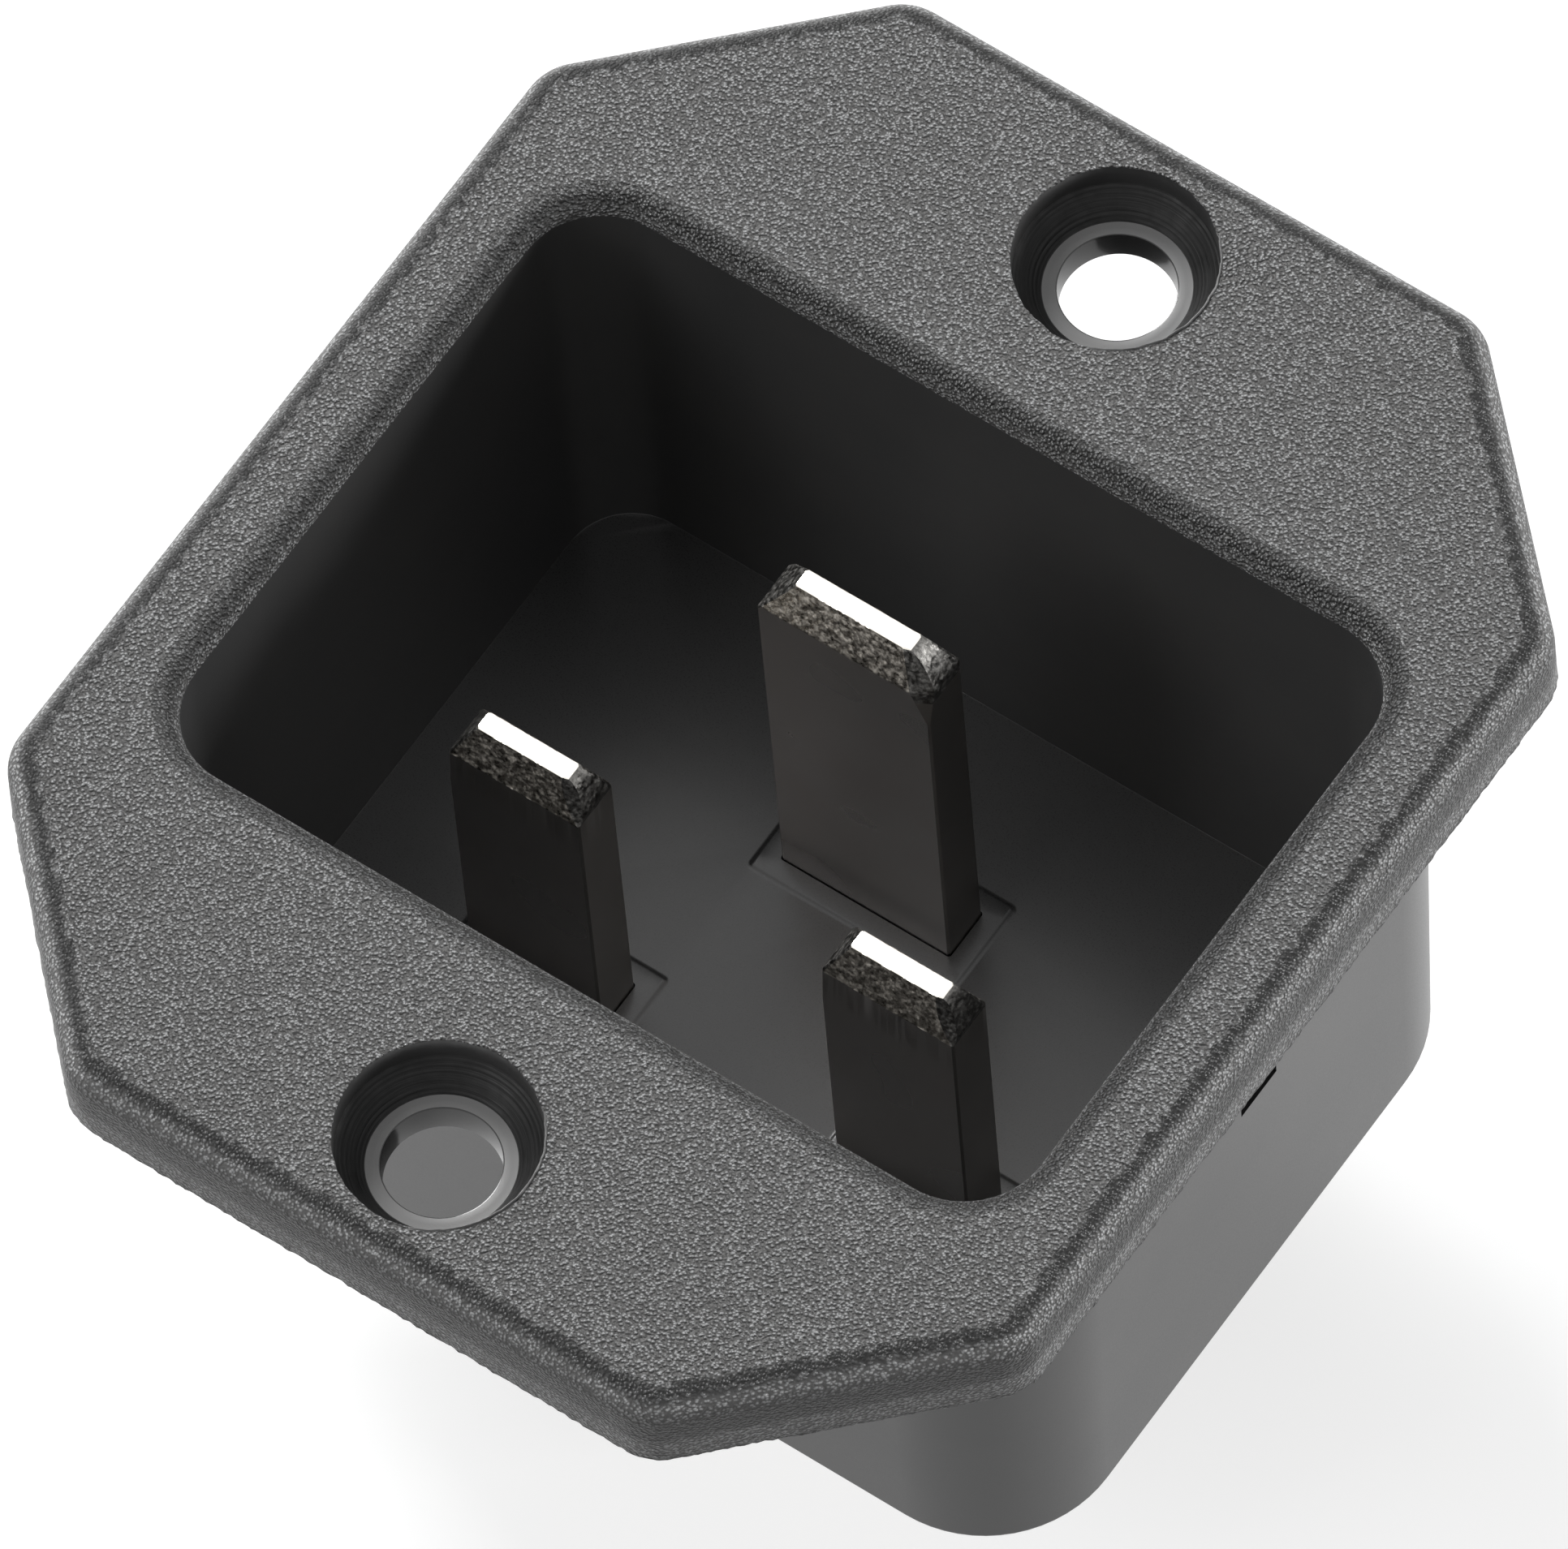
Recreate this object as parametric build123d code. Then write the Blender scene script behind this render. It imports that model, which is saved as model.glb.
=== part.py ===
from build123d import *
import os
from math import radians, sqrt, tan

# The inlet in its own frame, in millimetres.
# X runs along the long side of the connector recess and Y along the line of the two screws.
# Z = 0 is the back of the flange, which lies on the panel, and +Z points out of the recess.

# Flange: an octagonal plate in front of the panel
flange_width = 41.6
flange_height = 50.0
flange_thickness = 3.4
flange_corner_cut = 9.1
flange_corner_radius = 2.2
flange_edge_radius = 1.1
flange_draft = 1.0

# Screw holes: a counterbore, a countersink, a flat seat and a clearance hole
screw_spacing = 40.0
screw_hole_diameter = 4.1
screw_seat_diameter = 5.2
screw_head_diameter = 7.1
counterbore_depth = 1.1

# Connector recess, measured at the front face and at its floor
recess_length = 34.4
recess_width = 25.5
recess_depth = 20.75
recess_corner_radius = 3.0
recess_rim_radius = 0.45
recess_draft = 1.3

# Body behind the flange
shroud_wall = 1.75
floor_thickness = 2.65
body_corner_radius = 5.3
body_draft = 1.0

# Clip pocket near the middle of each narrow side of the body
pocket_y = 0.45
pocket_width = 2.1
pocket_height = 6.8
pocket_depth = 0.7

# Blades: two line blades side by side and a taller earth blade above them
line_spacing = 15.3
line_row_y = -4.35
earth_row_y = 4.45
blade_thickness = 2.0
line_blade_width = 5.5
line_tip_width = 3.6
line_tip_below_face = 4.7
earth_blade_width = 7.0
earth_tip_width = 4.5
earth_tip_below_face = 1.0
tip_thickness = 0.75
tip_chamfer_height = 1.6
line_corner_cut_height = 1.9
earth_corner_cut_height = 3.2
blade_edge_chamfer = 0.08
blade_fit_clearance = 0.02

# Witness pad that the mould insert leaves on the floor round each blade
pad_border = 0.95
pad_height = 0.12

# Collar of each blade, which stops it against the back of the floor
collar_border = 0.9
collar_thickness = 0.8

# Push-on terminal tab at the back end of each blade
tab_width = 6.3
tab_thickness = 0.8
tab_length = 8.0
tab_hole_diameter = 1.65
tab_hole_from_end = 3.2
tab_end_chamfer = 0.9

# Places worked out from the sizes above
front_face_z = flange_thickness
floor_z = front_face_z - recess_depth
back_z = floor_z - floor_thickness
recess_taper_inset = recess_depth * tan(radians(recess_draft))
body_taper_inset = -back_z * tan(radians(body_draft))
body_back_length = recess_length - 2 * recess_taper_inset + 2 * shroud_wall
body_back_width = recess_width - 2 * recess_taper_inset + 2 * shroud_wall
body_front_length = body_back_length + 2 * body_taper_inset
body_front_width = body_back_width + 2 * body_taper_inset

# Each blade: node name, place in X and Y, height of its tip, width, width of its flat tip
# and height of the cut at its four corners
blades = [
    ("line_blade", -line_spacing / 2, line_row_y, front_face_z - line_tip_below_face,
     line_blade_width, line_tip_width, line_corner_cut_height),
    ("neutral_blade", line_spacing / 2, line_row_y, front_face_z - line_tip_below_face,
     line_blade_width, line_tip_width, line_corner_cut_height),
    ("earth_blade", 0, earth_row_y, front_face_z - earth_tip_below_face,
     earth_blade_width, earth_tip_width, earth_corner_cut_height),
]


def flange():
    """The octagonal plate with its rounded corners and its rounded front edge."""
    outline = Rectangle(flange_width, flange_height)
    outline = chamfer(outline.vertices(), flange_corner_cut)
    outline = fillet(outline.vertices(), flange_corner_radius)
    plate = extrude(outline, flange_thickness, taper=flange_draft)
    return fillet(plate.edges().group_by(Axis.Z)[-1], flange_edge_radius)


def body():
    """The drafted box behind the flange, widest where it meets the flange."""
    outline = RectangleRounded(body_front_length, body_front_width, body_corner_radius)
    return extrude(outline, back_z, dir=(0, 0, 1), taper=body_draft)


def recess():
    """The drafted space that the mating connector enters."""
    mouth = RectangleRounded(recess_length, recess_width, recess_corner_radius)
    return Pos(0, 0, front_face_z) * extrude(mouth, -recess_depth, dir=(0, 0, 1), taper=recess_draft)


def screw_hole():
    """The stepped hole for one countersunk screw, about its own axis, with its mouth at the front."""
    head_radius = screw_head_diameter / 2
    seat_radius = screw_seat_diameter / 2
    cone_depth = head_radius - seat_radius
    align_top = (Align.CENTER, Align.CENTER, Align.MAX)
    hole = Cylinder(screw_hole_diameter / 2, flange_thickness, align=align_top)
    hole += Cylinder(head_radius, counterbore_depth, align=align_top)
    cone = Cone(seat_radius, head_radius, cone_depth, align=align_top)
    return Pos(0, 0, front_face_z) * (hole + Pos(0, 0, -counterbore_depth) * cone)


def clip_pocket(side):
    """The pocket in the side of the body at +X or -X, open towards the flange."""
    return Pos(side * body_front_length / 2, pocket_y, -pocket_height / 2) * Box(
        2 * pocket_depth, pocket_width, pocket_height)


def floor_pad(x, y, width):
    """The thin raised pad round the foot of one blade."""
    return Pos(x, y, floor_z) * Box(
        width + 2 * pad_border, blade_thickness + 2 * pad_border, pad_height,
        align=(Align.CENTER, Align.CENTER, Align.MIN))


def blade_slot(x, y, width):
    """The slot that one blade passes through the floor in."""
    return Pos(x, y, back_z) * Box(
        width + 2 * blade_fit_clearance, blade_thickness + 2 * blade_fit_clearance,
        floor_thickness + pad_height, align=(Align.CENTER, Align.CENTER, Align.MIN))


def housing():
    """The one-piece moulding: flange, body, recess, pads, screw holes and pockets."""
    shell = flange() + body() - recess()
    rim = shell.faces().sort_by(Axis.Z)[-1].inner_wires()[0].edges()
    shell = fillet(rim, recess_rim_radius)
    for side in (-1, 1):
        shell -= Pos(0, side * screw_spacing / 2, 0) * screw_hole()
        shell -= clip_pocket(side)
    for name, x, y, tip_z, width, *tip in blades:
        shell += floor_pad(x, y, width)
        shell -= blade_slot(x, y, width)
    return shell


def blade_section(depth, width, tip_width, cut_height):
    """The outline of a blade at a depth below its tip.

    The two faces are chamfered, the two ends are rounded and the corners between them are cut.
    """
    end_radius = (width - tip_width) / 2
    end_reach = sqrt(end_radius ** 2 - (end_radius - min(depth, end_radius)) ** 2)
    chamfer_run = (blade_thickness - tip_thickness) / 2
    chamfered = min(1, depth / tip_chamfer_height)
    cut = min(1, depth / cut_height)
    end_x = tip_width / 2 + end_reach
    end_y = tip_thickness / 2 + chamfer_run * cut - blade_edge_chamfer
    face_x = tip_width / 2 + end_radius * cut - blade_edge_chamfer
    face_y = tip_thickness / 2 + chamfer_run * chamfered
    corners = [(end_x, -end_y), (end_x, end_y), (face_x, face_y), (-face_x, face_y),
               (-end_x, end_y), (-end_x, -end_y), (-face_x, -face_y), (face_x, -face_y)]
    return Pos(0, 0, -depth) * make_face(Polyline(*corners, close=True))


def blade(tip_z, width, tip_width, cut_height):
    """One blade with its collar and its terminal tab, centred on its own axis."""
    end_radius = (width - tip_width) / 2
    depths = [0, end_radius / 8, end_radius * 3 / 8, end_radius, tip_chamfer_height, cut_height, tip_z - back_z]
    bar = Pos(0, 0, tip_z) * loft(
        [blade_section(depth, width, tip_width, cut_height) for depth in depths], ruled=True)
    at_top = (Align.CENTER, Align.CENTER, Align.MAX)
    collar = Pos(0, 0, back_z) * Box(
        width + 2 * collar_border, blade_thickness + 2 * collar_border, collar_thickness, align=at_top)
    tab = Box(tab_width, tab_thickness, tab_length, align=at_top)
    tab = chamfer(tab.edges().filter_by(Axis.Y).group_by(Axis.Z)[0], tab_end_chamfer)
    tab -= Pos(0, 0, tab_hole_from_end - tab_length) * Rot(90, 0, 0) * Cylinder(
        tab_hole_diameter / 2, 2 * tab_thickness)
    return bar + collar + Pos(0, 0, back_z - collar_thickness) * tab


os.makedirs("parts", exist_ok=True)
export_step(housing(), "parts/housing.step")
for name, x, y, *form in blades:
    export_step(Pos(x, y, 0) * blade(*form), "parts/" + name + ".step")
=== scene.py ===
"""Looks of the three-blade panel inlet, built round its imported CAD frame.

The moulding and the blades are built here as fine meshes that follow the CAD nodes that they replace.
Sizes in the classes are millimetres in the frame of the CAD, and meshes are written in metres.
"""
import logging
import math
from collections.abc import Callable, Iterable, Mapping, Sequence
from dataclasses import dataclass, field
from enum import Enum, IntEnum

import bmesh
import bpy
from mathutils import Matrix, Vector, noise
from mathutils.geometry import delaunay_2d_cdt


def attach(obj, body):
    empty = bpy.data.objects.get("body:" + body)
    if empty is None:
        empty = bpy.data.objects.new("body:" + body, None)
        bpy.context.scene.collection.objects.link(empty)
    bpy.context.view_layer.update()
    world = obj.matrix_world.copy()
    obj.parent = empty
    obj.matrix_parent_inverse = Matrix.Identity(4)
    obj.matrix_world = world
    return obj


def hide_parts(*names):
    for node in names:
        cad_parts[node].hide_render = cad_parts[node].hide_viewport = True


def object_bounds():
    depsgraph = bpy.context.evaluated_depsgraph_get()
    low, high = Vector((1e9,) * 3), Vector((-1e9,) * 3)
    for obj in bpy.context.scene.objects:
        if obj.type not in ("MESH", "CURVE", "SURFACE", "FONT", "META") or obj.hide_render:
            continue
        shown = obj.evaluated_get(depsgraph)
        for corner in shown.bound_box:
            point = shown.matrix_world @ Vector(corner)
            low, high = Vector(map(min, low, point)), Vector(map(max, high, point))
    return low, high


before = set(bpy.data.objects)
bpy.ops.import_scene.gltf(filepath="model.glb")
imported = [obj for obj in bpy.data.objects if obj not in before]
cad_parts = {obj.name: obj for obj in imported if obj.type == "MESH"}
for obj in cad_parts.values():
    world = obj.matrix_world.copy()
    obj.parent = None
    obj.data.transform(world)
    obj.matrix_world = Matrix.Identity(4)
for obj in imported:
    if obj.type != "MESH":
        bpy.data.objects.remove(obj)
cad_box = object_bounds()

MM = 0.001
IMAGE_WIDTH = 1932
SENSOR_WIDTH = 36.0

Point = tuple[float, float]
Colour = tuple[float, float, float, float]
Loop = list[Vector]

log = logging.getLogger("inlet")


class NodeBench:
    """A material's node tree with short calls for the nodes that the finishes need."""

    def __init__(self, name: str) -> None:
        """Starts an empty material.

        Args:
            name: the material's name.
        """
        self.material = bpy.data.materials.new(name)
        self.material.use_nodes = True
        self.tree = self.material.node_tree
        self.tree.nodes.clear()
        self.output = self.tree.nodes.new("ShaderNodeOutputMaterial")
        self.coords = self.tree.nodes.new("ShaderNodeTexCoord").outputs["Object"]

    def add(self, kind: str, **settings: object) -> bpy.types.Node:
        """Adds a node and sets its own properties.

        Args:
            kind: the node's type name, without its ShaderNode prefix.
            settings: the node's properties.

        Returns:
            The new node.
        """
        node = self.tree.nodes.new("ShaderNode" + kind)
        for key, value in settings.items():
            setattr(node, key, value)
        return node

    def feed(self, socket: bpy.types.NodeSocket, value: object) -> None:
        """Gives a socket its value.

        Args:
            socket: the node's input.
            value: another node's output, which is linked, or a plain value, which is set.
        """
        if isinstance(value, bpy.types.NodeSocket):
            self.tree.links.new(value, socket)
        else:
            socket.default_value = value

    def made(self, kind: str, output: str, inputs: Mapping[str | int, object], **settings: object
             ) -> bpy.types.NodeSocket:
        """Adds a node, feeds its inputs and hands out one of its outputs.

        Args:
            kind: the node's type name, without its ShaderNode prefix.
            output: name of the output.
            inputs: a value or a socket for each input, by name or place.
            settings: the node's properties.

        Returns:
            The output.
        """
        node = self.add(kind, **settings)
        for key, value in inputs.items():
            self.feed(node.inputs[key], value)
        return node.outputs[output]

    def stretched(self, scale: tuple[float, float, float], turn: float = 0.0) -> bpy.types.NodeSocket:
        """The coordinates, with features scale times longer along axes turned about Z by degrees."""
        inputs = {"Vector": self.coords, "Rotation": (0, 0, math.radians(turn)), "Scale": scale}
        return self.made("Mapping", "Vector", inputs, vector_type="TEXTURE")

    def noise(self, size: float, detail: float = 2.0, rough: float = 0.5,
              vector: bpy.types.NodeSocket | None = None) -> bpy.types.NodeSocket:
        """Noise whose features are about size millimetres across.

        Args:
            size: feature size in millimetres.
            detail: octaves.
            rough: strength of the finer octaves.
            vector: coordinates, or None for the object's own.

        Returns:
            The noise value.
        """
        return self.made("TexNoise", "Fac", {"Vector": vector or self.coords, "Scale": 1.0 / (size * MM),
                                             "Detail": detail, "Roughness": rough})

    def cells(self, size: float, vector: bpy.types.NodeSocket | None = None) -> bpy.types.NodeSocket:
        """Distance to the nearest of many middles that lie about size millimetres apart."""
        inputs = {"Vector": vector or self.coords, "Scale": 1.0 / (size * MM)}
        return self.made("TexVoronoi", "Distance", inputs, feature="F1")

    def by_height(self, stops: Sequence[Point], wander: float) -> bpy.types.NodeSocket:
        """A value that follows the object's own height.

        Args:
            stops: heights in millimetres, rising, each with its value.
            wander: how far the heights stray up and down, in millimetres.

        Returns:
            The value, smooth between the stops.
        """
        stray = self.spread(self.noise(0.4, 2.0), 0.25, 0.75, -wander / 2 * MM, wander / 2 * MM)
        curve = self.add("FloatCurve")
        low, high = stops[0][0], stops[-1][0]
        top = max(value for _, value in stops)
        height = self.maths("ADD", self.made("SeparateXYZ", "Z", {0: self.coords}), stray)
        self.feed(curve.inputs["Value"], self.spread(height, low * MM, high * MM))
        points = curve.mapping.curves[0].points
        places = [((height - low) / (high - low), value / top) for height, value in stops]
        points[0].location, points[-1].location = places[0], places[-1]
        for place in places[1:-1]:
            points.new(*place)
        curve.mapping.update()
        return self.maths("MULTIPLY", curve.outputs["Value"], top)

    def spread(self, value: bpy.types.NodeSocket, low: float, high: float,
               out_low: float = 0.0, out_high: float = 1.0) -> bpy.types.NodeSocket:
        """Maps value from low..high to out_low..out_high, held at both ends."""
        return self.made("MapRange", "Result", {"Value": value, "From Min": low, "From Max": high,
                                                "To Min": out_low, "To Max": out_high})

    def maths(self, operation: str, first: object, second: object) -> bpy.types.NodeSocket:
        """One sum of two values or sockets."""
        return self.made("Math", "Value", {0: first, 1: second}, operation=operation)

    def blend(self, factor: object, first: object, second: object) -> bpy.types.NodeSocket:
        """A colour between first and second."""
        return self.made("Mix", "Result", {"Factor": factor, "A": first, "B": second}, data_type="RGBA")

    def bump(self, height: bpy.types.NodeSocket, depth: float, under: bpy.types.NodeSocket | None = None
             ) -> bpy.types.NodeSocket:
        """Relief of depth millimetres for a height of one.

        Args:
            height: the relief's height, from 0 to 1.
            depth: its depth in millimetres.
            under: normal of a relief below this one.

        Returns:
            The normal.
        """
        inputs = {"Height": height, "Distance": depth * MM, "Strength": 1.0}
        if under is not None:
            inputs["Normal"] = under
        return self.made("Bump", "Normal", inputs)

    def surface(self, **inputs: object) -> bpy.types.Material:
        """Ends the tree in one Principled surface, whose inputs have underscores for blanks."""
        named = {key.replace("_", " "): value for key, value in inputs.items()}
        return self.ended(self.made("BsdfPrincipled", "BSDF", named))

    def ended(self, shader: bpy.types.NodeSocket) -> bpy.types.Material:
        """Ends the tree in a shader and hands out the material."""
        self.tree.links.new(shader, self.output.inputs["Surface"])
        return self.material


def linked(name: str, data: bpy.types.ID) -> bpy.types.Object:
    """Puts a new object in the scene.

    Args:
        name: the object's name.
        data: its mesh, lamp or camera.

    Returns:
        The object.
    """
    thing = bpy.data.objects.new(name, data)
    bpy.context.scene.collection.objects.link(thing)
    return thing


def seen_rays(tree: bpy.types.NodeTree) -> bpy.types.NodeSocket:
    """Tells the rays that see from those that light.

    Args:
        tree: the node tree that asks.

    Returns:
        One for a ray from the camera, of a reflection or through glass, and zero for the rest.
    """
    paths = tree.nodes.new("ShaderNodeLightPath")
    seen = paths.outputs["Is Camera Ray"]
    for ray in ("Is Glossy Ray", "Is Transmission Ray"):
        either = tree.nodes.new("ShaderNodeMath")
        either.operation = "MAXIMUM"
        tree.links.new(seen, either.inputs[0])
        tree.links.new(paths.outputs[ray], either.inputs[1])
        seen = either.outputs["Value"]
    return seen


def grey(value: float, warmth: float = 0.0) -> Colour:
    """A linear grey, a little warmer or cooler by warmth."""
    return (value * (1 + warmth), value, value * (1 - warmth), 1.0)


@dataclass(frozen=True)
class GrainedMoulding:
    """Black thermoplastic with a spark-eroded grain of rounded beads."""

    name: str
    grain_size: float
    grain_depth: float
    dark: float
    light: float
    roughness: float
    refraction: float = 1.5
    # Heights in millimetres with tone factors: painted light and shade in bands along the edges
    stops: tuple[Point, ...] = ()

    def material(self) -> bpy.types.Material:
        """Builds the material.

        Returns:
            The material.
        """
        bench = NodeBench(self.name)
        drawn = bench.stretched((1.12, 1.0, 0.9), 60.0)
        soft = bench.noise(self.grain_size, 0.0, 0.5, drawn)
        beads = bench.spread(bench.cells(self.grain_size, drawn), 0.05, 0.7, 1.0, 0.0)
        height = bench.maths("ADD", bench.maths("MULTIPLY", soft, 0.5), bench.maths("MULTIPLY", beads, 0.5))
        # Painted light and shade on the grain: the bead tops are painted lighter and the gaps between them
        # darker as painted shade
        tone = bench.blend(bench.spread(height, 0.38, 0.62), grey(self.dark, 0.01), grey(self.light, -0.01))
        # Painted highlight on the highest part of each bead
        tone = bench.blend(bench.spread(height, 0.64, 0.76), tone, grey(self.light * 1.25, -0.01))
        rough = bench.spread(height, 0.5, 0.75, self.roughness, self.roughness * 0.5)
        # Painted light and shade: the tone is scaled by height into darker and lighter bands
        if self.stops:
            inputs = {0: tone, "Scale": bench.by_height(self.stops, 0.07)}
            tone = bench.made("VectorMath", "Vector", inputs, operation="SCALE")
        return bench.surface(Base_Color=tone, Roughness=rough, IOR=self.refraction,
                             Normal=bench.bump(height, self.grain_depth))


@dataclass(frozen=True)
class SatinMoulding:
    """Black thermoplastic from a polished face of the mould, with faint draw marks down it."""

    name: str
    tone: float
    roughness: float
    mark_depth: float
    refraction: float = 1.5
    mark_turn: float = 0.0
    mark_stretch: tuple[float, float, float] = (1.0, 1.0, 3.0)

    def material(self) -> bpy.types.Material:
        """Builds the material.

        Returns:
            The material.
        """
        bench = NodeBench(self.name)
        marks = bench.noise(0.5, 4.0, 0.6, bench.stretched(self.mark_stretch, self.mark_turn))
        orange_peel = bench.noise(0.8, 3.0, 0.5)
        fine = bench.noise(0.06, 2.0, 0.6)
        bloom = bench.noise(6.0, 3.0, 0.6)
        tone = bench.blend(bench.spread(bloom, 0.3, 0.7), grey(self.tone * 0.9, -0.01),
                           grey(self.tone * 1.1, 0.01))
        rough = bench.spread(fine, 0.3, 0.7, self.roughness - 0.03, self.roughness + 0.03)
        relief = bench.bump(orange_peel, self.mark_depth,
                            bench.bump(fine, self.mark_depth, bench.bump(marks, self.mark_depth)))
        return bench.surface(Base_Color=tone, Roughness=rough, IOR=self.refraction, Normal=relief)


@dataclass(frozen=True)
class TurnedMoulding:
    """Black thermoplastic where a countersink cutter has left rings and torn streaks."""

    name: str
    tone: float
    roughness: float
    ring_pitch: float
    centre: Point

    def material(self) -> bpy.types.Material:
        """Builds the material.

        Returns:
            The material.
        """
        bench = NodeBench(self.name)
        centre = (self.centre[0] * MM, self.centre[1] * MM, 0.0)
        moved = bench.made("VectorMath", "Vector", {0: bench.coords, 1: centre}, operation="SUBTRACT")
        x, y, z = (bench.made("SeparateXYZ", axis, {0: moved}) for axis in "XYZ")
        squares = bench.maths("ADD", bench.maths("POWER", x, 2.0), bench.maths("POWER", y, 2.0))
        along = bench.maths("ADD", bench.maths("SQRT", squares, 0.0), z)
        turned = bench.made("CombineXYZ", "Vector", {
            "X": along, "Y": bench.maths("MULTIPLY", x, 0.03), "Z": bench.maths("MULTIPLY", y, 0.03)})
        rings = bench.noise(self.ring_pitch, 3.0, 0.65, turned)
        torn = bench.noise(0.5, 3.0, 0.6)
        tone = bench.blend(bench.spread(rings, 0.4, 0.7), grey(self.tone * 0.6), grey(self.tone * 1.9))
        rough = bench.spread(torn, 0.3, 0.7, self.roughness - 0.1, self.roughness + 0.12)
        return bench.surface(Base_Color=tone, Roughness=rough, IOR=1.36, Normal=bench.bump(rings, 0.02))


@dataclass(frozen=True)
class DrawnPlating:
    """Bright plating over drawn strip, dulled and a little brown in places."""

    name: str
    clean: Colour
    stained: Colour
    roughness: float

    def material(self) -> bpy.types.Material:
        """Builds the material.

        Returns:
            The material.
        """
        bench = NodeBench(self.name)
        drawn = bench.noise(0.05, 3.0, 0.6, bench.stretched((1.0, 1.0, 20.0)))
        stain = bench.noise(3.0, 0.0)
        pits = bench.noise(0.03, 1.0, 0.5)
        colour = bench.blend(bench.spread(stain, 0.1, 0.9), self.clean, self.stained)
        rough = bench.spread(stain, 0.1, 0.9, self.roughness, self.roughness + 0.06)
        relief = bench.bump(drawn, 0.0006, bench.bump(pits, 0.0006))
        return bench.surface(Base_Color=colour, Metallic=1.0, Roughness=rough, Normal=relief)


@dataclass(frozen=True)
class CoinedPlating:
    """Plating over the pressed chamfers, where the punch has left a mottled, torn surface."""

    name: str
    bright: Colour
    dark: Colour
    roughness: float

    def material(self) -> bpy.types.Material:
        """Builds the material.

        Returns:
            The material.
        """
        bench = NodeBench(self.name)
        mottle = bench.noise(0.08, 3.0, 0.6)
        coarse = bench.noise(0.2, 3.0, 0.6)
        mixed = bench.maths("MULTIPLY", bench.maths("ADD", mottle, coarse), 0.5)
        colour = bench.blend(bench.spread(mixed, 0.42, 0.6), self.dark, self.bright)
        rough = bench.spread(coarse, 0.35, 0.65, self.roughness - 0.12, self.roughness + 0.15)
        relief = bench.bump(mottle, 0.007, bench.bump(coarse, 0.010))
        return bench.surface(Base_Color=colour, Metallic=1.0, Roughness=rough, Normal=relief)


@dataclass(frozen=True)
class PaleFloor:
    """White table top that stays white in the picture and in gloss, and keeps the shadow."""

    name: str = "white_table"
    paint: float = 0.45
    lift: float = 0.66

    def material(self) -> bpy.types.Material:
        """Builds the material.

        Returns:
            The material.
        """
        bench = NodeBench(self.name)
        paper = bench.noise(30.0, 3.0, 0.5)
        shade = bench.blend(bench.spread(paper, 0.3, 0.7), grey(self.paint), grey(self.paint * 1.02))
        coat = bench.made("BsdfDiffuse", "BSDF", {"Color": shade})
        strength = bench.maths("MULTIPLY", seen_rays(bench.tree), self.lift)
        glow = bench.made("Emission", "Emission", {"Strength": strength})
        return bench.ended(bench.made("AddShader", "Shader", {0: coat, 1: glow}))


@dataclass(frozen=True)
class Outline:
    """A convex outline with rounded corners that keeps its number of points when it is offset."""

    corners: tuple[Point, ...]
    radius: float
    arc_steps: int = 8
    edge_step: float = 2.0
    marks: tuple[float, ...] = ()

    @staticmethod
    def rectangle(length: float, width: float, radius: float, **more: object) -> "Outline":
        """A rectangle about the origin.

        Args:
            length: its size along X.
            width: its size along Y.
            radius: the corners' radius.
            more: the outline's other fields.

        Returns:
            The outline.
        """
        x, y = length / 2, width / 2
        return Outline(((-x, -y), (x, -y), (x, y), (-x, y)), radius, **more)

    @staticmethod
    def octagon(width: float, height: float, cut: float, radius: float, **more: object) -> "Outline":
        """A rectangle about the origin, whose four corners are cut at 45 degrees.

        Args:
            width: its size along X.
            height: its size along Y.
            cut: how much each corner takes off a side.
            radius: the corners' radius.
            more: the outline's other fields.

        Returns:
            The outline.
        """
        x, y = width / 2, height / 2
        return Outline(((-x + cut, -y), (x - cut, -y), (x, -y + cut), (x, y - cut),
                        (x - cut, y), (-x + cut, y), (-x, y - cut), (-x, -y + cut)), radius, **more)

    def points(self, inset: float = 0.0) -> list[Vector]:
        """The outline as points, anticlockwise.

        Args:
            inset: how far the outline is moved inwards.

        Returns:
            Flat points.
        """
        arcs = [self._arc(k, inset) for k in range(len(self.corners))]
        found: list[Vector] = []
        for k, arc in enumerate(arcs):
            found.extend(arc)
            found.extend(self._edge(arc[-1], arcs[(k + 1) % len(arcs)][0]))
        return found

    def _arc(self, k: int, inset: float) -> list[Vector]:
        """The rounding of one corner.

        Args:
            k: the corner's place in the outline.
            inset: how far the outline is moved inwards.

        Returns:
            Its points.
        """
        count = len(self.corners)
        before, here, after = (Vector(self.corners[(k + i) % count]) for i in (-1, 0, 1))
        into, out = (here - before).normalized(), (after - here).normalized()
        left_in, left_out = Vector((-into.y, into.x)), Vector((-out.y, out.x))
        centre = here + (left_in + left_out) * self.radius / (1 + left_in.dot(left_out))
        start = math.atan2(-left_in.y, -left_in.x)
        turn = into.angle_signed(out) * -1
        reach = self.radius - inset
        return [centre + reach * Vector((math.cos(start + turn * i / self.arc_steps),
                                         math.sin(start + turn * i / self.arc_steps)))
                for i in range(self.arc_steps + 1)]

    def _edge(self, start: Vector, end: Vector) -> list[Vector]:
        """The points between two corners, with one at each mark on an edge along Y.

        Args:
            start: last point of the corner before.
            end: first point of the corner after.

        Returns:
            The points, without start and end.
        """
        length = (end - start).length
        steps = max(1, round(length / self.edge_step))
        shares = [i / steps for i in range(1, steps)]
        if abs(end.x - start.x) < 0.01 * length:
            shares += [(mark - start.y) / (end.y - start.y) for mark in self.marks]
            shares = sorted(set(round(s, 9) for s in shares))
        return [start.lerp(end, share) for share in shares]


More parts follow.
